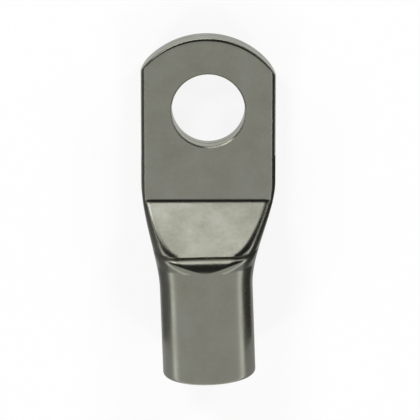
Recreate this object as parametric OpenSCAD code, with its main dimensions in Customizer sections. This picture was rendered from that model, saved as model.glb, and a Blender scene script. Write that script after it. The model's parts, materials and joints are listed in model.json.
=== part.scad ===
// Crimp cable lug: a tinned copper tube pressed flat at one end and punched for a stud.
// +Y runs from the barrel's mouth to the palm's round end, and +Z out of the palm's front face.
// The origin is the stud hole's centre on the palm's back face.

/* [Palm] */
// Width of the flattened palm
palm_w = 15.5; // [12.5:0.1:20]
// Distance from the stud hole's centre to the palm's round end
end_reach = 8.5; // [7:0.1:12]
// Height of the round end's arc above its two corners
end_rise = 4.1; // [2.5:0.1:6]
// Distance from the stud hole's centre to the fold line
fold_reach = 10.6; // [9:0.1:16]
// Diameter of the stud hole
stud_hole_d = 8.4; // [5.2:0.1:10.2]

/* [Barrel] */
// Outer diameter of the barrel
barrel_od = 10.7; // [8.5:0.1:13]
// Wall thickness of the tube
tube_wall = 1.6; // [1:0.05:2]
// Length of the barrel from its mouth to the crease
barrel_len = 14.85; // [12:0.05:26]

/* [Pressed transition] */
// Length of the sloping facet along the lug, from the fold to the crease
facet_run = 5.15; // [4:0.05:8]
// Width of the facet's flat at the crease
facet_top_w = 6.9; // [4:0.1:8]
// Depth of the crease below the barrel's crown
crease_drop = 1.7; // [0.8:0.1:2.4]
// Length over which the crown rises again behind the crease
crown_run = 1.7; // [0.8:0.1:2]
// How far before the fold the sides start to draw in
shoulder_lead = 1.9; // [0.5:0.1:3]
// How far behind the crease the tube is round again
shoulder_tail = 4.45; // [2.5:0.05:6]
// Half length of the bend at the fold
fold_round = 0.35; // [0.1:0.05:0.8]

/* [Edges] */
// Chamfer on both rims of the stud hole
hole_chamfer = 0.2; // [0.05:0.05:0.4]
// Radius on the sheared edge of the round end
end_edge_r = 0.4; // [0.1:0.05:0.5]
// Radius on the outside of the barrel's mouth
mouth_r = 0.4; // [0.1:0.05:0.5]
// Chamfer on the inside of the barrel's mouth
mouth_chamfer = 0.4; // [0.1:0.05:0.5]

/* [Set of the pressing] */
// Angle between the barrel and the palm's centre line, 0 for a true lug
barrel_lean = 2; // [0:0.1:3]
// Distance from the mouth to the place where the barrel crosses the centre line
lean_pivot = 3.7; // [0:0.1:8]
// Sideways shift of the round end's arc, 0 for a true lug
end_shift = -0.2; // [-0.4:0.1:0.4]

/* [Hidden] */
$fn = 96;

// Segments in each quarter of a section, outside and inside
outer_steps = 10;
inner_steps = 8;
// What one solid reaches into the next, and how much slimmer it is there
overlap = 0.4;
slack = 0.02;
// Half of the narrow flat that stands for a section's top or bottom point
point_flat = 0.05;

palm_t = 2 * tube_wall;
end_r = (pow(palm_w / 2, 2) + pow(end_rise, 2)) / (2 * end_rise);
barrel_r = barrel_od / 2;
bore_r = barrel_r - tube_wall;
crease_h = barrel_od - crease_drop;

// Places along the lug, counted from the stud hole towards the mouth
shoulder_start = fold_reach - shoulder_lead;
crease_at = fold_reach + facet_run;
crown_at = crease_at + crown_run;
shoulder_end = crease_at + shoulder_tail;
mouth_at = crease_at + barrel_len;
pivot_at = mouth_at - lean_pivot;

function blend(a, b, u) = a + (b - a) * u;

// 0 before the shoulder, 1 behind it, and a half cosine wave between
function shoulder(d) =
    let (u = (d - shoulder_start) / (shoulder_end - shoulder_start))
    (1 - cos(180 * min(max(u, 0), 1))) / 2;

// A slope of 1 that starts at 0 and is rounded over the length r on both sides
function ramp(x, r) = x <= -r ? 0 : x >= r ? x : pow(x + r, 2) / (4 * r);

// Height of a section's top over the palm's back face; the crown is a quarter ellipse
function top_z(d) =
    let (
        slope = (crease_h - palm_t) / facet_run,
        left = 1 - min((d - crease_at) / crown_run, 1)
    )
    d <= crease_at ? palm_t + slope * ramp(d - fold_reach, fold_round)
    : crease_h + crease_drop * sqrt(1 - left * left);

// Height of its widest point, and its half width there
function side_z(d) = blend(palm_t / 2, barrel_r, shoulder(d));
function side_x(d) = blend(palm_w / 2, barrel_r, shoulder(d));

// Half widths of its flats: the facet on top and the contact face below
palm_flat = (palm_w - palm_t) / 2;
function top_flat(d) =
    let (u = (d - shoulder_start) / (crease_at - shoulder_start), v = (d - crease_at) / crown_run)
    d <= crease_at ? palm_flat - (palm_flat - facet_top_w / 2) * pow(max(u, 0), 2)
    : facet_top_w / 2 * cos(90 * min(v, 1));
function base_flat(d) = blend(palm_flat, 0, shoulder(d));

// Sideways place of its middle, which follows the barrel's lean
function middle_x(d) = (d - pivot_at) * tan(barrel_lean) * shoulder(d);

// A closed section of four quarter ellipses joined by two flats, with steps to a quarter
function section(d, half_w, side, low, high, top_half, base_half, steps) =
    let (
        x0 = middle_x(d),
        t = max(top_half, point_flat),
        b = max(base_half, point_flat)
    )
    concat(
        [for (i = [0:steps]) let (q = 90 * i / steps)
            [x0 + t + (half_w - t) * cos(q), -d, side + (high - side) * sin(q)]],
        [for (i = [0:steps]) let (q = 90 * i / steps)
            [x0 - t - (half_w - t) * sin(q), -d, side + (high - side) * cos(q)]],
        [for (i = [1:steps]) let (q = 90 * i / steps)
            [x0 - b - (half_w - b) * cos(q), -d, side - (side - low) * sin(q)]],
        [for (i = [0:steps - 1]) let (q = 90 * i / steps)
            [x0 + b + (half_w - b) * sin(q), -d, side - (side - low) * cos(q)]]
    );

// A section of the tube's outside, a hair slimmer than the exact solids that it meets
function outer_section(d) =
    let (gap = slack * shoulder(d))
    section(d, side_x(d) - slack, side_z(d), gap, top_z(d) - gap,
        top_flat(d), base_flat(d), outer_steps);

// A section of its inside: a wall's thickness in, and closed up where the walls meet
function inner_section(d) =
    let (half_w = side_x(d) - tube_wall - slack, share = half_w / side_x(d))
    section(d, half_w, side_z(d), tube_wall + slack, top_z(d) - tube_wall - slack,
        top_flat(d) * share, base_flat(d) * share, inner_steps);

// Places from a to b, n + 1 of them
function places(a, b, n) = [for (i = [0:n]) blend(a, b, i / n)];

// Places over the crown's quarter ellipse, n of them at equal angles
function crown_places(n) = [for (i = [1:n]) crease_at + crown_run * (1 - cos(90 * i / n))];

outer_places = concat(
    [shoulder_start - overlap],
    places(shoulder_start, fold_reach - fold_round, 4),
    places(fold_reach - 0.6 * fold_round, fold_reach + fold_round, 4),
    places(fold_reach + 0.12 * facet_run, crease_at, 8),
    crown_places(7),
    places(crown_at + 0.15 * (shoulder_end - crown_at), shoulder_end, 6),
    [shoulder_end + overlap]
);
inner_places = concat(
    places(fold_reach + 0.12 * facet_run, crease_at, 6),
    crown_places(4),
    places(crown_at + 0.2 * (shoulder_end - crown_at), shoulder_end, 4),
    [shoulder_end + overlap]
);

// A skin of triangles over rings of equal length, closed by its first and last ring
module loft(rings) {
    n = len(rings[0]);
    last = len(rings) - 1;
    points = [for (ring = rings) each ring];
    skin = [
        for (r = [0:last - 1], i = [0:n - 1])
            let (j = (i + 1) % n, a = r * n + i, b = r * n + j, c = a + n, d = b + n)
            each [[a, d, b], [a, c, d]]
    ];
    caps = [[for (i = [0:n - 1]) i], [for (i = [n - 1:-1:0]) last * n + i]];
    polyhedron(points, concat(skin, caps));
}

// Turns what is drawn along -Z from the pivot so that it lies along the barrel's axis
module on_barrel_axis() {
    translate([0, -pivot_at, barrel_r]) rotate([0, 0, barrel_lean]) rotate([-90, 0, 0])
        children();
}

// The end's outline: an arc with a rounded edge, and straight sides wider than the palm
module end_outline() {
    centre_y = end_reach - end_r;
    translate([end_shift, centre_y, 0]) rotate_extrude() {
        square([end_r - end_edge_r, palm_t]);
        translate([0, end_edge_r]) square([end_r, palm_t - 2 * end_edge_r]);
        for (z = [end_edge_r, palm_t - end_edge_r])
            translate([end_r - end_edge_r, z]) circle(end_edge_r);
    }
    translate([-palm_w, -shoulder_start, 0])
        cube([2 * palm_w, shoulder_start + centre_y, palm_t]);
}

// The palm: two tube walls pressed together, so its long edges are fully round
module palm() {
    bar_len = shoulder_start + end_reach + overlap;
    intersection() {
        translate([0, -shoulder_start, 0]) union() {
            translate([-palm_flat, 0, 0]) cube([2 * palm_flat, bar_len, palm_t]);
            for (side = [-1, 1])
                translate([side * palm_flat, 0, palm_t / 2]) rotate([-90, 0, 0])
                    cylinder(h = bar_len, d = palm_t);
        }
        end_outline();
    }
}

// The barrel, with a rounded edge at its mouth
module barrel() {
    mouth_z = -lean_pivot;
    start_z = pivot_at - shoulder_end;
    on_barrel_axis() rotate_extrude() {
        translate([0, mouth_z]) square([barrel_r - mouth_r, start_z - mouth_z]);
        translate([0, mouth_z + mouth_r]) square([barrel_r, start_z - mouth_z - mouth_r]);
        translate([barrel_r - mouth_r, mouth_z + mouth_r]) circle(mouth_r);
    }
}

// The round bore that takes the conductor, chamfered at its mouth
module barrel_bore() {
    mouth_z = -lean_pivot;
    end_z = pivot_at - shoulder_end;
    wide = mouth_chamfer + 1;
    on_barrel_axis() rotate_extrude()
        polygon([
            [0, mouth_z - 1], [bore_r + wide, mouth_z - 1], [bore_r, mouth_z + mouth_chamfer],
            [bore_r, end_z], [0, end_z]
        ]);
}

// The stud hole, chamfered on both faces
module stud_hole() {
    r = stud_hole_d / 2;
    wide = hole_chamfer + 1;
    rotate_extrude()
        polygon([
            [0, -1], [r + wide, -1], [r, hole_chamfer],
            [r, palm_t - hole_chamfer], [r + wide, palm_t + 1], [0, palm_t + 1]
        ]);
}

module lug() {
    color("#8a897f") difference() {
        union() {
            palm();
            loft([for (d = outer_places) outer_section(d)]);
            barrel();
        }
        loft([for (d = inner_places) inner_section(d)]);
        barrel_bore();
        stud_hole();
    }
}

lug();
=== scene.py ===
"""A crimp cable lug of tinned copper tube, pressed flat at one end and punched for a stud."""

import json
import math

import bpy
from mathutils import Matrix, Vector


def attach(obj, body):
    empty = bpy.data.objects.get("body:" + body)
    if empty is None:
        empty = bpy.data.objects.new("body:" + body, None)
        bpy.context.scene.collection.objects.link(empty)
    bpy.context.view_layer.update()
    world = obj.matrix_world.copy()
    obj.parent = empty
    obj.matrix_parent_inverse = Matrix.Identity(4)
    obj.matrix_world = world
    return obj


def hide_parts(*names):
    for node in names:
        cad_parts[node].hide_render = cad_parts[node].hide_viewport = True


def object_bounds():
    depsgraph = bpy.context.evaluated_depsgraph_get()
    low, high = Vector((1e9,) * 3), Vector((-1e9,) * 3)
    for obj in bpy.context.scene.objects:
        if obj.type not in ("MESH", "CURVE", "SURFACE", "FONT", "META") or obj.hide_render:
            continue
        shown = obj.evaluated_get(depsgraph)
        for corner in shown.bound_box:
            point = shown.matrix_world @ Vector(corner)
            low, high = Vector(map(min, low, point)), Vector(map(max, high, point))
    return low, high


bl_info = {
    "name": "Tinned copper cable lug",
    "version": (1, 0, 0),
    "blender": (4, 5, 0),
    "location": "3D View > Sidebar > Cable lug",
    "description": "Makes a pressed and punched cable lug, its tin finish and a plain stage",
    "category": "Add Mesh",
}

MM = 0.001
MATH = "ShaderNodeMath"
MAP = "ShaderNodeMapRange"

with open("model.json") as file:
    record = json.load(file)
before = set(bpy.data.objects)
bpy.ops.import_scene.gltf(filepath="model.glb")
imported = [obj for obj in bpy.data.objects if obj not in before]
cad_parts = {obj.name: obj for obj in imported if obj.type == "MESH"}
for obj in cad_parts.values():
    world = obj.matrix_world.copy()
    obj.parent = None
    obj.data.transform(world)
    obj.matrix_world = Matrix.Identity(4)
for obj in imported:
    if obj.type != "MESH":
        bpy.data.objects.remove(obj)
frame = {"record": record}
CAD_LOW, CAD_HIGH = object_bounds()
MOUNTS = {mount["name"]: mount for mount in frame["record"]["mounts"]}
STUD_HOLE = MOUNTS["stud_hole"]
BARREL_BORE = MOUNTS["barrel_bore"]


def linear(code):
    """Turns an sRGB hex colour such as "#808277" into linear red, green, blue and alpha."""
    parts = [int(code[i : i + 2], 16) / 255 for i in (1, 3, 5)]
    return [p / 12.92 if p <= 0.04045 else ((p + 0.055) / 1.055) ** 2.4 for p in parts] + [1.0]


def add(tree, kind, label, feeds=None, **settings):
    """Adds one node with its settings, and links or sets the sockets that feeds names."""
    node = tree.nodes.new(kind)
    node.label = label
    node.location = (len(tree.nodes) % 12 * 220, len(tree.nodes) // 12 * -260)
    for name, value in settings.items():
        setattr(node, name, value)
    for socket, feed in (feeds or {}).items():
        if isinstance(feed, bpy.types.NodeSocket):
            tree.links.new(feed, node.inputs[socket])
        else:
            node.inputs[socket].default_value = feed
    return node


# Small sizes that the sidebar doesn't offer: how far the palm's long edges are rounded, and
# the roundings of the round end, the mouth, the fold and the facet's corners at the crease
PALM_EDGE = 0.9 * MM
END_EDGE = 0.4 * MM
MOUTH_EDGE = 0.4 * MM
FOLD_ROUND = 0.35 * MM
FACET_CORNER = 0.7 * MM
# How much of the outline before and behind the fold gets the finer faces
FOLD_ZONE = 0.6 * MM
# Plain length between a rounded edge's corner and the next faces along the outline
EDGE_ZONE = 0.8 * MM
# The seam between the two walls: half its width, and its depth in the end and in the hole
SEAM_HALF = 0.05 * MM
SEAM_DEPTH = 0.3 * MM
HOLE_SEAM_DEPTH = 0.2 * MM
# Height of the stud hole's rolled rims and their radius, and how far the punch overshoots
HOLE_ROLL = 0.2 * MM
HOLE_ROLL_RADIUS = 0.3 * MM
PUNCH_PAST = 1 * MM
# Faces over each rounded corner of an outline
FILLET_FACES = 8
# Points of the skin this close are one, and an edge that bends more than this stays crisp
SAME_POINT = 1e-6
CRISP_BEND = math.radians(30)

# The sizes below repeat the part's source, but for the facet's top width, which is a little
# more here because its corners are rounded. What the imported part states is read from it.
LEAN = math.atan2(BARREL_BORE["axis"][0], -BARREL_BORE["axis"][1])


class LugSizes(bpy.types.PropertyGroup):
    """Sizes of the lug, with distances counted from the stud hole towards the barrel's mouth"""

    palm_width: bpy.props.FloatProperty(
        name="Palm width",
        description="Width of the flattened palm",
        default=CAD_HIGH.x - CAD_LOW.x,
        unit="LENGTH",
    )
    tube_wall: bpy.props.FloatProperty(
        name="Tube wall",
        description="Wall thickness of the tube; the palm is two walls thick",
        default=1.6 * MM,
        unit="LENGTH",
    )
    end_reach: bpy.props.FloatProperty(
        name="End reach",
        description="From the stud hole's centre to the palm's round end",
        default=CAD_HIGH.y,
        unit="LENGTH",
    )
    end_rise: bpy.props.FloatProperty(
        name="End rise",
        description="Height of the round end's arc above its corners",
        default=4.1 * MM,
        unit="LENGTH",
    )
    end_shift: bpy.props.FloatProperty(
        name="End shift",
        description="Sideways shift of the round end's arc",
        default=-0.2 * MM,
        unit="LENGTH",
    )
    fold_reach: bpy.props.FloatProperty(
        name="Fold reach",
        description="From the stud hole's centre to the fold line",
        default=10.6 * MM,
        unit="LENGTH",
    )
    facet_run: bpy.props.FloatProperty(
        name="Facet run",
        description="Length of the sloping facet along the lug",
        default=5.15 * MM,
        unit="LENGTH",
    )
    facet_top: bpy.props.FloatProperty(
        name="Facet top width",
        description="Width of the facet's flat at the crease",
        default=7.2 * MM,
        unit="LENGTH",
    )
    crease_drop: bpy.props.FloatProperty(
        name="Crease drop",
        description="Depth of the crease below the barrel's crown",
        default=1.7 * MM,
        unit="LENGTH",
    )
    crown_run: bpy.props.FloatProperty(
        name="Crown run",
        description="Length over which the crown rises again behind the crease",
        default=1.7 * MM,
        unit="LENGTH",
    )
    shoulder_lead: bpy.props.FloatProperty(
        name="Shoulder lead",
        description="How far before the fold the sides start to draw in",
        default=1.9 * MM,
        unit="LENGTH",
    )
    shoulder_tail: bpy.props.FloatProperty(
        name="Shoulder tail",
        description="How far behind the crease the tube is round again",
        default=4.45 * MM,
        unit="LENGTH",
    )
    barrel_across: bpy.props.FloatProperty(
        name="Barrel across",
        description="Outer diameter of the barrel",
        default=CAD_HIGH.z - CAD_LOW.z,
        unit="LENGTH",
    )
    barrel_length: bpy.props.FloatProperty(
        name="Barrel length",
        description="From the crease to the barrel's mouth",
        default=14.85 * MM,
        unit="LENGTH",
    )
    lean: bpy.props.FloatProperty(
        name="Barrel lean",
        description="Angle between the barrel and the palm's centre line",
        default=LEAN,
        unit="ROTATION",
    )
    lean_pivot: bpy.props.FloatProperty(
        name="Lean pivot",
        description="From the mouth to where the barrel crosses the centre line",
        default=3.7 * MM,
        unit="LENGTH",
    )
    hole_across: bpy.props.FloatProperty(
        name="Stud hole",
        description="Diameter of the stud hole",
        default=2 * STUD_HOLE["dims"]["r_mm"] * MM,
        unit="LENGTH",
    )
    mesh_round: bpy.props.IntProperty(
        name="Faces round",
        description="Number of faces round the tube",
        default=160,
    )


class LugFinish(bpy.types.PropertyGroup):
    """Colours of the lug's finish and of the floor"""

    tin: bpy.props.StringProperty(
        name="Tin",
        description="Colour of the tin plating, as an sRGB hex value",
        default="#b9baae",
    )
    tin_warm: bpy.props.StringProperty(
        name="Tin, dull",
        description="Colour of the plating where it has dulled, as an sRGB hex value",
        default="#b2b2a2",
    )
    floor: bpy.props.StringProperty(
        name="Floor",
        description="Colour of the floor, as an sRGB hex value",
        default="#ffffff",
    )


# What a row of the table below can name besides an operation of the Math node
OTHER_STEPS = {
    "RANGE": (MAP, {}),
    "SMOOTH_RANGE": (MAP, {"interpolation_type": "SMOOTHSTEP"}),
    "POINT": ("ShaderNodeCombineXYZ", {}),
    "ROTATE": ("ShaderNodeVectorRotate", {"rotation_type": "Z_AXIS"}),
}
# How a section of the tube follows from its distance d along the lug, its depth w under the
# skin and its turn round the section. Each row is a result, a step and what it is fed with.
SECTION_RULE = (
    # From 0 in the palm to 1 where the tube is round again, and the widest place there
    ("shoulder", "SMOOTH_RANGE", ("d", "Shoulder start", "Shoulder end", 0, 1)),
    ("side z", "RANGE", ("shoulder", 0, 1, "Wall", "Barrel radius")),
    ("side x", "RANGE", ("shoulder", 0, 1, "Half palm", "Barrel radius")),
    ("base flat", "RANGE", ("shoulder", 0, 1, "Palm flat", 0)),
    # The top: the palm, the facet, the crease and the crown's quarter ellipse
    ("past fold", "SUBTRACT", ("d", "Fold")),
    ("facet line", "MULTIPLY_ADD", ("past fold", "Facet slope", "Palm thickness")),
    ("folded", "SMOOTH_MAX", ("facet line", "Palm thickness", "Fold softness")),
    ("creased", "MINIMUM", ("folded", "Crease height")),
    ("crown left", "RANGE", ("d", "Crease", "Crown", 1, 0)),
    ("crown squared", "MULTIPLY", ("crown left", "crown left")),
    ("crown rest", "SUBTRACT", (1, "crown squared")),
    ("crown rise", "SQRT", ("crown rest",)),
    ("top z", "MULTIPLY_ADD", ("crown rise", "Crease drop", "creased")),
    # The flat on top narrows along the facet, with rounded corners just before the crease
    ("draw", "RANGE", ("d", "Shoulder start", "Crease", 0, 1)),
    ("draw squared", "MULTIPLY", ("draw", "draw")),
    ("facet flat", "RANGE", ("draw squared", 0, 1, "Palm flat", "Half facet top")),
    ("corner", "POWER", ("draw", 16)),
    ("corner cut", "MULTIPLY", ("corner", "Facet corner")),
    ("facet half", "SUBTRACT", ("facet flat", "corner cut")),
    ("crown turn", "MULTIPLY", ("crown left", math.pi / 2)),
    ("crown narrowing", "SINE", ("crown turn",)),
    ("top flat", "MULTIPLY", ("facet half", "crown narrowing")),
    # The quarter that a point lies in: its half width, its reach up or down and its flat
    ("half width", "SUBTRACT", ("side x", "w")),
    ("upper", "LESS_THAN", ("turn", 0.5)),
    ("high", "SUBTRACT", ("top z", "side z")),
    ("rise", "SUBTRACT", ("high", "w")),
    ("fall", "SUBTRACT", ("w", "side z")),
    ("reach z", "RANGE", ("upper", 0, 1, "fall", "rise")),
    ("any flat", "RANGE", ("upper", 0, 1, "base flat", "top flat")),
    ("flat", "MINIMUM", ("any flat", "half width")),
    ("bend x", "SUBTRACT", ("half width", "flat")),
    # The share of a quarter that bends, so that points lie about evenly round it
    ("bend x squared", "MULTIPLY", ("bend x", "bend x")),
    ("bend squared", "MULTIPLY_ADD", ("reach z", "reach z", "bend x squared")),
    ("bend size", "SQRT", ("bend squared",)),
    ("bend length", "MULTIPLY", ("bend size", math.pi / 2 / math.sqrt(2))),
    ("quarter length", "ADD", ("bend length", "flat")),
    ("bend share", "DIVIDE", ("bend length", "quarter length")),
    # The point's place on the bend or on the flat, on its own side
    ("four turns", "MULTIPLY", ("turn", 4)),
    ("quarter", "PINGPONG", ("four turns", 1)),
    ("bend angle", "RANGE", ("quarter", 0, "bend share", 0, math.pi / 2)),
    ("along flat", "RANGE", ("quarter", "bend share", 1, 1, 0)),
    ("bend cosine", "COSINE", ("bend angle",)),
    ("bend sine", "SINE", ("bend angle",)),
    ("flat x", "MULTIPLY", ("flat", "along flat")),
    ("out x", "MULTIPLY_ADD", ("bend x", "bend cosine", "flat x")),
    ("whole turn", "MULTIPLY", ("turn", 2 * math.pi)),
    ("side cosine", "COSINE", ("whole turn",)),
    ("side sign", "SIGN", ("side cosine",)),
    ("signed x", "MULTIPLY", ("out x", "side sign")),
    # The skin's inner end is drawn in to its middle, which closes it
    ("left open", "RANGE", ("drawn in", 0, "Wall", 1, 0)),
    ("x", "MULTIPLY", ("signed x", "left open")),
    ("open reach z", "MULTIPLY", ("reach z", "left open")),
    ("z", "MULTIPLY_ADD", ("open reach z", "bend sine", "side z")),
    # The round end is an arc, which fades out towards the shoulder
    ("arc x", "SUBTRACT", ("x", "End shift")),
    ("arc x squared", "MULTIPLY", ("arc x", "arc x")),
    ("end radius squared", "MULTIPLY", ("End radius", "End radius")),
    ("arc y squared", "SUBTRACT", ("end radius squared", "arc x squared")),
    ("arc y", "SQRT", ("arc y squared",)),
    ("arc drop", "SUBTRACT", ("End radius", "arc y")),
    ("end share", "RANGE", ("d", "End", "Shoulder start", 1, 0)),
    ("drop here", "MULTIPLY", ("arc drop", "end share")),
    ("drop and d", "ADD", ("drop here", "d")),
    ("y", "MULTIPLY", ("drop and d", -1)),
    # The lean turns the barrel about its pivot, and the palm stays
    ("unturned", "POINT", ("x", "y", "z")),
    ("lean here", "MULTIPLY", ("Lean", "shoulder")),
    ("minus pivot", "MULTIPLY", ("Pivot", -1)),
    ("pivot point", "POINT", (0, "minus pivot", 0)),
    ("place", "ROTATE", ("unturned", "pivot point", None, "lean here")),
)


def skin_of(tree, corners, radii, faces, round_count, label):
    """Adds nodes that sweep a filleted outline round; returns its mesh, outline places and turn."""
    line = add(tree, "GeometryNodeMeshLine", label + " line", {"Count": len(corners)})
    index = add(tree, "GeometryNodeInputIndex", "Corner number")
    switches = []
    for kind, name, feeds in (
        ("VECTOR", "corners", corners), ("FLOAT", "corner radii", radii), ("FLOAT", "faces", faces)
    ):
        switch = add(tree, "GeometryNodeIndexSwitch", label + " " + name, data_type=kind)
        while len(switch.index_switch_items) < len(corners):
            switch.index_switch_items.new()
        for socket, feed in enumerate([index.outputs[0], *feeds]):
            if isinstance(feed, bpy.types.NodeSocket):
                tree.links.new(feed, switch.inputs[socket])
            else:
                switch.inputs[socket].default_value = feed
        switches.append(switch.outputs[0])
    place, radius, face_count = switches
    counted = add(tree, "GeometryNodeCaptureAttribute", label + " faces", {0: line.outputs[0]})
    counted.capture_items.new("FLOAT", "Faces")
    counted.capture_items.new("FLOAT", "Radius")
    tree.links.new(face_count, counted.inputs[1])
    tree.links.new(radius, counted.inputs[2])
    bent = add(
        tree, "GeometryNodeSetPosition", label + " bent",
        {"Geometry": counted.outputs[0], "Position": place},
    )
    curve = add(tree, "GeometryNodeMeshToCurve", label + " curve", {0: bent.outputs[0]})
    filleted = add(
        tree, "GeometryNodeFilletCurve", label + " rounded",
        {
            "Curve": curve.outputs[0], "Count": FILLET_FACES, "Radius": counted.outputs[2],
            "Limit Radius": True,
        },
        mode="POLY",
    )
    divided = add(
        tree, "GeometryNodeSubdivideCurve", label + " divided",
        {"Curve": filleted.outputs[0], "Cuts": counted.outputs[1]},
    )
    here = add(tree, "GeometryNodeInputPosition", "Place")
    outline = add(tree, "GeometryNodeCaptureAttribute", label + " outline", {0: divided.outputs[0]})
    outline.capture_items.new("VECTOR", "Outline")
    tree.links.new(here.outputs[0], outline.inputs[1])
    ring = add(
        tree, "GeometryNodeCurvePrimitiveCircle", label + " ring",
        {"Resolution": round_count, "Radius": 0.001},
    )
    number = add(tree, "GeometryNodeInputIndex", "Point number")
    share = add(
        tree, MATH, "Turn", {0: number.outputs[0], 1: round_count}, operation="DIVIDE"
    )
    turn = add(tree, "GeometryNodeCaptureAttribute", label + " turn", {0: ring.outputs[0]})
    turn.capture_items.new("FLOAT", "Turn")
    tree.links.new(share.outputs[0], turn.inputs[1])
    skin = add(
        tree, "GeometryNodeCurveToMesh", label + " skin",
        {0: outline.outputs[0], 1: turn.outputs[0]},
    )
    return skin.outputs[0], outline.outputs[1], turn.outputs[1]


def outline_of(tree, known, rows):
    """Adds a point for each row of name, place, radius and faces up to the next point."""
    corners, radii, faces = [], [], []
    for name, *place, radius, count in rows:
        feeds = {axis: known.get(value, value) for axis, value in enumerate(place)}
        corners.append(add(tree, "ShaderNodeCombineXYZ", name, feeds).outputs[0])
        radii.append(known.get(radius, radius))
        faces.append(float(count))
    return corners, radii, faces


def pressed_tube_tree(sizes):
    """Builds the tree of the pressed tube; sizes maps each input's name to its value."""
    tree = bpy.data.node_groups.new("Pressed tube", "GeometryNodeTree")
    tree.interface.new_socket(name="Lug", in_out="OUTPUT", socket_type="NodeSocketGeometry")
    for name, value in sizes.items():
        kinds = {int: "NodeSocketInt", float: "NodeSocketFloat"}
        kind = kinds.get(type(value), "NodeSocketMaterial")
        tree.interface.new_socket(name=name, in_out="INPUT", socket_type=kind)
    entry = add(tree, "NodeGroupInput", "Sizes")
    known = {name: entry.outputs[name] for name in sizes}

    # The tube's outline: from the seam in the round end, along the outside, round the mouth
    # and back along the bore to where the walls meet. A place is the distance along the lug,
    # the depth under the skin and how far the section is drawn in to its middle.
    tube_outline = outline_of(tree, known, (
        ("seam depth", "Seam depth", "Wall", 0.0, 0.0, 2),
        ("seam lip", "End", "Seam lip", 0.0, 0.0, 5),
        ("end edge", "End", 0.0, 0.0, "End edge radius", 0),
        ("palm", "Palm start", 0.0, 0.0, 0.0, 60),
        ("before the fold", "Fold start", 0.0, 0.0, 0.0, 23),
        ("after the fold", "Fold end", 0.0, 0.0, 0.0, 27),
        ("crease", "Crease", 0.0, 0.0, 0.0, 35),
        ("crown", "Crown", 0.0, 0.0, 0.0, 21),
        ("round again", "Shoulder end", 0.0, 0.0, 0.0, 25),
        ("mouth outside", "Mouth", 0.0, 0.0, "Mouth radius", 0),
        ("mouth inside", "Mouth", "Wall", 0.0, "Mouth radius", 0),
        ("bore", "Bore start", "Wall", 0.0, 0.0, 50),
        ("walls meet", "Fold", "Wall", 0.0, 0.0, 4),
        ("inner end", "Fold", "Wall", "Wall", 0.0, 0),
    ))
    skin, outline, turn = skin_of(tree, *tube_outline, known["Faces round"], "Tube")
    apart = add(tree, "ShaderNodeSeparateXYZ", "Along and deep", {0: outline})
    known.update({"d": apart.outputs[0], "w": apart.outputs[1], "drawn in": apart.outputs[2]})
    known["turn"] = turn
    for result, step, terms in SECTION_RULE:
        kind, settings = OTHER_STEPS.get(step, (MATH, {"operation": step}))
        feeds = {i: known.get(term, term) for i, term in enumerate(terms) if term is not None}
        known[result] = add(tree, kind, result, feeds, **settings).outputs[0]
    shaped = add(
        tree, "GeometryNodeSetPosition", "Tube shaped", {0: skin, "Position": known["place"]}
    )
    closed = add(
        tree, "GeometryNodeMergeByDistance", "Tube closed",
        {0: shaped.outputs[0], "Distance": SAME_POINT},
    )

    # The punch: wider at both faces for the rolled edges, with the walls' seam as a fine
    # groove. A place is the height and the distance from the hole's axis.
    punch_outline = outline_of(tree, known, (
        ("under", "Below", 0.0, 0.0, 2),
        ("under rim", "Below", "Hole flare", 0.0, 2),
        ("lower edge", "Hole chamfer", "Hole radius", "Edge roll", 3),
        ("seam low", "Seam lip", "Hole radius", 0.0, 0),
        ("seam", "Wall", "Hole seam", 0.0, 0),
        ("seam high", "Seam top", "Hole radius", 0.0, 3),
        ("upper edge", "Roll start", "Hole radius", "Edge roll", 2),
        ("over rim", "Above", "Hole flare", 0.0, 2),
        ("over", "Above", 0.0, 0.0, 0),
    ))
    skin, outline, turn = skin_of(tree, *punch_outline, known["Faces round"], "Punch")
    apart = add(tree, "ShaderNodeSeparateXYZ", "Deep and wide", {0: outline})
    angle = add(tree, MATH, "Punch angle", {0: turn, 1: 2 * math.pi}, operation="MULTIPLY")
    cosine = add(tree, MATH, "Punch cosine", {0: angle.outputs[0]}, operation="COSINE")
    sine = add(tree, MATH, "Punch sine", {0: angle.outputs[0]}, operation="SINE")
    across = add(
        tree, MATH, "Punch x", {0: cosine.outputs[0], 1: apart.outputs[1]}, operation="MULTIPLY"
    )
    along = add(
        tree, MATH, "Punch y", {0: sine.outputs[0], 1: apart.outputs[1]}, operation="MULTIPLY"
    )
    place = add(
        tree, "ShaderNodeCombineXYZ", "Punch place",
        {0: across.outputs[0], 1: along.outputs[0], 2: apart.outputs[0]},
    )
    punch = add(
        tree, "GeometryNodeSetPosition", "Punch shaped", {0: skin, "Position": place.outputs[0]}
    )
    punch_closed = add(
        tree, "GeometryNodeMergeByDistance", "Punch closed",
        {0: punch.outputs[0], "Distance": SAME_POINT},
    )
    punched = add(
        tree, "GeometryNodeMeshBoolean", "Punched",
        {"Mesh 1": closed.outputs[0], "Mesh 2": punch_closed.outputs[0]},
        operation="DIFFERENCE", solver="EXACT",
    )
    smooth = add(tree, "GeometryNodeSetShadeSmooth", "Smooth", {0: punched.outputs[0]})
    bend = add(tree, "GeometryNodeInputMeshEdgeAngle", "Bend at an edge")
    sharp = add(
        tree, MATH, "Sharp", {0: bend.outputs["Unsigned Angle"], 1: CRISP_BEND},
        operation="GREATER_THAN",
    )
    crisp = add(
        tree, "GeometryNodeSetShadeSmooth", "Crisp edges",
        {"Geometry": smooth.outputs[0], "Selection": sharp.outputs[0], "Shade Smooth": False},
        domain="EDGE",
    )
    real = add(tree, "GeometryNodeRealizeInstances", "Real", {0: crisp.outputs[0]})
    finished = add(
        tree, "GeometryNodeSetMaterial", "Finish", {0: real.outputs[0], "Material": known["Finish"]}
    )
    add(tree, "NodeGroupOutput", "Lug", {0: finished.outputs[0]})
    return tree


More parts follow.
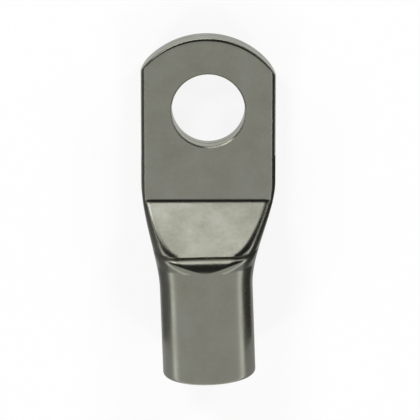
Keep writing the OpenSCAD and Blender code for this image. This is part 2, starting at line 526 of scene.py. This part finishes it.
def noise(tree, label, place, size, detail):
    """Adds a noise whose features are about size across, and returns its value."""
    feeds = {"Vector": place, "Scale": 1 / size, "Detail": detail}
    return add(tree, "ShaderNodeTexNoise", label, feeds).outputs[0]


def tin_plating(finish):
    """Electro-deposited tin on copper tube: a soft grey mirror, faintly warm, with fine grain."""
    material = bpy.data.materials.new("tin_plating_on_drawn_copper_tube")
    material.use_nodes = True
    tree = material.node_tree
    tree.nodes.clear()
    place = add(tree, "ShaderNodeTexCoord", "Place").outputs["Object"]
    # Patches of dulled plating with a finer mottle, barely darker than the rest
    patches = noise(tree, "Dull patches", place, size=3 * MM, detail=4.0)
    mottle = noise(tree, "Mottle", place, size=0.4 * MM, detail=3.0)
    both = add(
        tree, MATH, "Patches and mottle", {0: mottle, 1: 0.4, 2: patches},
        operation="MULTIPLY_ADD",
    )
    dull = add(tree, MAP, "Dull share", {0: both.outputs[0], 1: 0.45, 2: 0.95})
    colour = add(
        tree, "ShaderNodeMix", "Tin colour",
        {0: dull.outputs[0], 6: linear(finish.tin), 7: linear(finish.tin_warm)},
        data_type="RGBA",
    )
    # Where it has dulled it mirrors less sharply
    rough = add(
        tree, MAP, "Roughness", {0: dull.outputs[0], 1: 0.0, 2: 1.0, 3: 0.21, 4: 0.28}
    )
    # Three reliefs lie over each other: the slow unevenness that pressing leaves, the fine
    # lines that drawing leaves along the tube, and the plating's own grain
    along = add(
        tree, "ShaderNodeMapping", "Along the tube", {"Vector": place, "Scale": (1, 0.03, 1)}
    ).outputs[0]
    relief = None
    for label, where, size, detail, depth in (
        ("Pressed unevenness", place, 4 * MM, 1.0, 0.012 * MM),
        ("Draw lines", along, 0.2 * MM, 2.0, 0.001 * MM),
        ("Grain", place, 0.15 * MM, 3.0, 0.0015 * MM),
    ):
        feeds = {"Height": noise(tree, label, where, size, detail), "Distance": depth}
        if relief:
            feeds["Normal"] = relief
        relief = add(tree, "ShaderNodeBump", label + " relief", feeds).outputs[0]
    shader = add(
        tree, "ShaderNodeBsdfPrincipled", "Tin",
        {
            "Base Color": colour.outputs[2], "Metallic": 1.0, "Roughness": rough.outputs[0],
            "Normal": relief,
        },
    )
    add(tree, "ShaderNodeOutputMaterial", "Surface", {0: shader.outputs[0]})
    return material


class LUG_OT_press_tube(bpy.types.Operator):
    """Makes the lug from its sizes: the pressed tube with its stud hole, in tin"""

    bl_idname = "lug.press_tube"
    bl_label = "Press the tube"

    def execute(self, context):
        lug = context.scene.lug_sizes
        wall = lug.tube_wall
        half = lug.palm_width / 2
        crease = lug.fold_reach + lug.facet_run
        crease_height = lug.barrel_across - lug.crease_drop
        mouth = crease + lug.barrel_length
        slope = (crease_height - 2 * wall) / lug.facet_run
        hole = lug.hole_across / 2
        sizes = {
            "Wall": wall,
            "Palm thickness": 2 * wall,
            "Half palm": half,
            "Palm flat": half - PALM_EDGE,
            "End": -lug.end_reach,
            "End radius": (half**2 + lug.end_rise**2) / (2 * lug.end_rise),
            "End shift": lug.end_shift,
            "End edge radius": END_EDGE,
            "Palm start": EDGE_ZONE - lug.end_reach,
            "Seam depth": SEAM_DEPTH - lug.end_reach,
            "Seam lip": wall - SEAM_HALF,
            "Seam top": wall + SEAM_HALF,
            "Fold": lug.fold_reach,
            "Fold softness": FOLD_ROUND * slope,
            "Fold start": lug.fold_reach - FOLD_ZONE,
            "Fold end": lug.fold_reach + FOLD_ZONE,
            "Facet slope": slope,
            "Crease": crease,
            "Crease height": crease_height,
            "Crease drop": lug.crease_drop,
            "Half facet top": lug.facet_top / 2,
            "Facet corner": FACET_CORNER,
            "Crown": crease + lug.crown_run,
            "Shoulder start": lug.fold_reach - lug.shoulder_lead,
            "Shoulder end": crease + lug.shoulder_tail,
            "Barrel radius": lug.barrel_across / 2,
            "Mouth": mouth,
            "Mouth radius": MOUTH_EDGE,
            "Bore start": mouth - EDGE_ZONE,
            "Lean": lug.lean,
            "Pivot": mouth - lug.lean_pivot,
            "Below": -PUNCH_PAST,
            "Above": 2 * wall + PUNCH_PAST,
            "Hole radius": hole,
            "Hole flare": hole + PUNCH_PAST + HOLE_ROLL,
            "Hole chamfer": HOLE_ROLL,
            "Roll start": 2 * wall - HOLE_ROLL,
            "Hole seam": hole + HOLE_SEAM_DEPTH,
            "Edge roll": HOLE_ROLL_RADIUS,
            "Faces round": lug.mesh_round,
            "Finish": tin_plating(context.scene.lug_finish),
        }
        tree = pressed_tube_tree(sizes)
        blank = bpy.data.objects.new("tinned_lug", bpy.data.meshes.new("tinned_lug"))
        context.scene.collection.objects.link(blank)
        press = blank.modifiers.new("Pressed tube", "NODES")
        press.node_group = tree
        for item in tree.interface.items_tree:
            if item.in_out == "INPUT":
                press[item.identifier] = sizes[item.name]
        graph = context.evaluated_depsgraph_get()
        made = bpy.data.meshes.new_from_object(blank.evaluated_get(graph), depsgraph=graph)
        blank.modifiers.clear()
        blank.data = made
        if not made.polygons:
            raise RuntimeError("the pressed tube came out empty")
        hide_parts("lug")
        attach(blank, "root")
        return {"FINISHED"}


# Lamps at one metre from the lug: name, direction from it and power in watts
LAMPS = (
    ("lamp_front_left", (-0.45, 0.65, 0.60), 4.2),
    ("lamp_front_right", (0.55, 0.60, 0.60), 3.0),
    ("lamp_back_left", (-0.55, -0.70, 0.50), 3.0),
    ("lamp_back_right", (0.55, -0.70, 0.50), 3.0),
)
LAMP_SIZE = 0.30

# Glowing cards that only the metal sees, as painted reflections of bright light that light nothing.
# These stand upright before the round end, which the facet mirrors: name, radiance and the two ends
# of the foot in millimetres.
UPRIGHT_HIGHLIGHT_CARDS = (
    ("card_bright_front", 1.3, ((-130, 300), (22, 300))),
    ("card_bright_left", 2.2, ((-300, 260), (-130, 300))),
)
UPRIGHT_LOW, UPRIGHT_HIGH = -12, 85
# These lie a hair over the floor, which the barrel's sides, the flanks and the hole mirror. Dimmer
# than the white floor, they are painted shade in the metal's reflections: the floor's shade beside
# and under the lug, and a darker floor further out. Name, radiance, height and corners in
# millimetres.
FLOOR_SHADE_CARDS = (
    ("card_near_left", 0.42, 0.1, ((-9, -40), (0, -40), (0, -6), (-9, -6))),
    ("card_near_right", 0.40, 0.1, ((0, -40), (12, -40), (8, -6), (0, -6))),
    ("card_hole", 0.60, 0.1, ((-9, -6), (0, -6), (0, 14), (-9, 14))),
    ("card_hole_right", 0.58, 0.3, ((0, -6), (9, -6), (9, 14), (0, 14))),
    ("card_side_left", 0.13, 0.2, ((-60, -44), (-9, -28.5), (-9, -12), (-60, -12))),
    ("card_front_left", 0.10, 0.2, ((-150, -12), (-9, -12), (-9, 90), (-150, 90))),
    ("card_side_right", 0.04, 0.05, ((8, -27.5), (60, -42), (60, -12), (8, -12))),
    ("card_front_right", 0.04, 0.2, ((8, -12), (150, -12), (150, 90), (8, 90))),
    ("card_mouth_left", 0.34, 0.2, ((-60, -90), (-9, -90), (-9, -28.5), (-60, -44))),
    ("card_mouth_right", 0.30, 0.2, ((8, -90), (60, -90), (60, -42), (8, -27.5))),
)

# Radiance of the room overhead and towards the round end, and how far forward a direction
# points where the one fades into the other
ROOM_GREY, ROOM_DARK = 0.57, 0.03
FADE_START, FADE_END = -0.12, 0.14
# Share of plain white in the paper, which thins the lug's shadow
WHITE_SHARE = 0.85

# What the camera looks at, its tilt towards the round end and the width it takes in
TARGET = Vector((0.2, -11.7, 3.2)) * MM
CAMERA_TILT = math.radians(14.5)
CAMERA_SPAN = 48.4 * MM


def reflected_card(scene, name, radiance, corners):
    """Puts up a plain glowing card, given in millimetres, that shows only in the metal as a painted
    reflection and lights nothing.
    """
    mesh = bpy.data.meshes.new(name)
    mesh.from_pydata([Vector(corner) * MM for corner in corners], [], [(0, 1, 2, 3)])
    material = bpy.data.materials.new(name)
    material.use_nodes = True
    tree = material.node_tree
    tree.nodes.clear()
    # The card's glow is painted: bright cards paint highlights and dim ones paint shade, seen only
    # in the metal's reflections
    glow = add(tree, "ShaderNodeEmission", "Card", {"Strength": radiance})
    add(tree, "ShaderNodeOutputMaterial", "Surface", {0: glow.outputs[0]})
    mesh.materials.append(material)
    card = bpy.data.objects.new(name, mesh)
    card.visible_camera = False
    card.visible_diffuse = False
    card.visible_shadow = False
    scene.collection.objects.link(card)


def paper_sweep(scene):
    """Lays a round sheet of white paper that rises at its rim, far behind the lug."""
    # Each ring's radius and height in metres
    rings = [(0.0, 0.0), (0.3, 0.0), (1.5, 0.0), (1.58, 0.03), (1.6, 0.12)]
    turns = 64
    points = []
    for radius, height in rings:
        for i in range(turns):
            angle = 2 * math.pi * i / turns
            points.append((radius * math.cos(angle), radius * math.sin(angle), height))
    faces = []
    for r in range(len(rings) - 1):
        for i in range(turns):
            j = (i + 1) % turns
            a, b = r * turns + i, r * turns + j
            faces.append((a, a + turns, b + turns, b))
    mesh = bpy.data.meshes.new("floor")
    mesh.from_pydata(points, [], faces)
    paper = bpy.data.materials.new("matt_white_paper")
    paper.use_nodes = True
    tree = paper.node_tree
    tree.nodes.clear()
    white = linear(scene.lug_finish.floor)
    matt = add(tree, "ShaderNodeBsdfDiffuse", "Paper", {"Color": white})
    glow = add(tree, "ShaderNodeEmission", "White ground", {"Color": white, "Strength": 1.0})
    rays = add(tree, "ShaderNodeLightPath", "Rays")
    seen = add(
        tree, MATH, "Seen or mirrored",
        {0: rays.outputs["Is Camera Ray"], 1: rays.outputs["Is Glossy Ray"]}, operation="MAXIMUM",
    )
    through = add(
        tree, MATH, "Or seen through",
        {0: seen.outputs[0], 1: rays.outputs["Is Transmission Ray"]}, operation="MAXIMUM",
    )
    share = add(
        tree, MATH, "Share of white ground", {0: through.outputs[0], 1: WHITE_SHARE},
        operation="MULTIPLY",
    )
    mixed = add(
        tree, "ShaderNodeMixShader", "Paper and ground",
        {0: share.outputs[0], 1: matt.outputs[0], 2: glow.outputs[0]},
    )
    add(tree, "ShaderNodeOutputMaterial", "Surface", {0: mixed.outputs[0]})
    mesh.materials.append(paper)
    floor = bpy.data.objects.new("floor", mesh)
    scene.collection.objects.link(floor)


class LUG_OT_light_stage(bpy.types.Operator):
    """Sets the floor, the lamps, the world and the camera"""

    bl_idname = "lug.light_stage"
    bl_label = "Set the stage"

    def execute(self, context):
        scene = context.scene
        scene.view_settings.view_transform = "Standard"
        paper_sweep(scene)

        world = bpy.data.worlds.new("grey_studio")
        world.use_nodes = True
        tree = world.node_tree
        tree.nodes.clear()
        # The room is grey overhead and behind the camera, and dark towards the round end
        place = add(tree, "ShaderNodeTexCoord", "Direction")
        apart = add(tree, "ShaderNodeSeparateXYZ", "Apart", {0: place.outputs["Generated"]})
        front = add(
            tree, MAP, "Towards the round end",
            {0: apart.outputs[1], 1: FADE_START, 2: FADE_END, 3: ROOM_GREY, 4: ROOM_DARK},
            interpolation_type="SMOOTHSTEP",
        )
        sky = add(tree, "ShaderNodeBackground", "Room", {1: front.outputs[0]})
        add(tree, "ShaderNodeOutputWorld", "World", {0: sky.outputs[0]})
        scene.world = world

        for name, towards, power in LAMPS:
            light = bpy.data.lights.new(name, "AREA")
            light.shape = "DISK"
            light.size = LAMP_SIZE
            light.energy = power
            lamp = bpy.data.objects.new(name, light)
            scene.collection.objects.link(lamp)
            direction = Vector(towards).normalized()
            lamp.location = TARGET + direction
            lamp.rotation_mode = "QUATERNION"
            lamp.rotation_quaternion = direction.to_track_quat("Z", "Y")
            lamp.visible_glossy = False
        # Bright upright cards: painted highlights in the metal
        for name, radiance, ends in UPRIGHT_HIGHLIGHT_CARDS:
            foot = [(x, y, UPRIGHT_LOW) for x, y in ends]
            top = [(x, y, UPRIGHT_HIGH) for x, y in reversed(ends)]
            reflected_card(scene, name, radiance, foot + top)
        # Dim floor cards: painted shade in the metal's reflections
        for name, radiance, height, corners in FLOOR_SHADE_CARDS:
            reflected_card(scene, name, radiance, [(x, y, height) for x, y in corners])

        back = Vector((0, math.sin(CAMERA_TILT), math.cos(CAMERA_TILT)))
        eye = bpy.data.cameras.new("camera")
        eye.lens = 300.0
        eye.sensor_width = 36.0
        eye.clip_start = 0.01
        eye.clip_end = 10
        camera = bpy.data.objects.new("camera", eye)
        scene.collection.objects.link(camera)
        camera.location = TARGET + back * (CAMERA_SPAN / eye.sensor_width * eye.lens)
        camera.rotation_euler = (-CAMERA_TILT, 0, 0)
        scene.camera = camera
        return {"FINISHED"}


class LUG_PT_maker(bpy.types.Panel):
    """Lists the lug's sizes, its finish and the steps that make it"""

    bl_idname = "LUG_PT_maker"
    bl_label = "Cable lug"
    bl_space_type = "VIEW_3D"
    bl_region_type = "UI"
    bl_category = "Cable lug"

    def draw(self, context):
        for group in (context.scene.lug_sizes, context.scene.lug_finish):
            for name in group.bl_rna.properties.keys():
                if name not in ("rna_type", "name"):
                    self.layout.prop(group, name)
        for step in STEPS:
            self.layout.operator(step.bl_idname)


STEPS = (LUG_OT_press_tube, LUG_OT_light_stage)
CLASSES = (LugSizes, LugFinish, *STEPS, LUG_PT_maker)


def register():
    """Makes the classes known to Blender."""
    for kind in CLASSES:
        bpy.utils.register_class(kind)
    bpy.types.Scene.lug_sizes = bpy.props.PointerProperty(type=LugSizes)
    bpy.types.Scene.lug_finish = bpy.props.PointerProperty(type=LugFinish)


def unregister():
    """Takes the classes away again."""
    del bpy.types.Scene.lug_finish
    del bpy.types.Scene.lug_sizes
    for kind in reversed(CLASSES):
        bpy.utils.unregister_class(kind)


def main():
    """Makes the lug and its stage."""
    register()
    bpy.ops.lug.press_tube()
    bpy.ops.lug.light_stage()


if __name__ == "__main__":
    main()
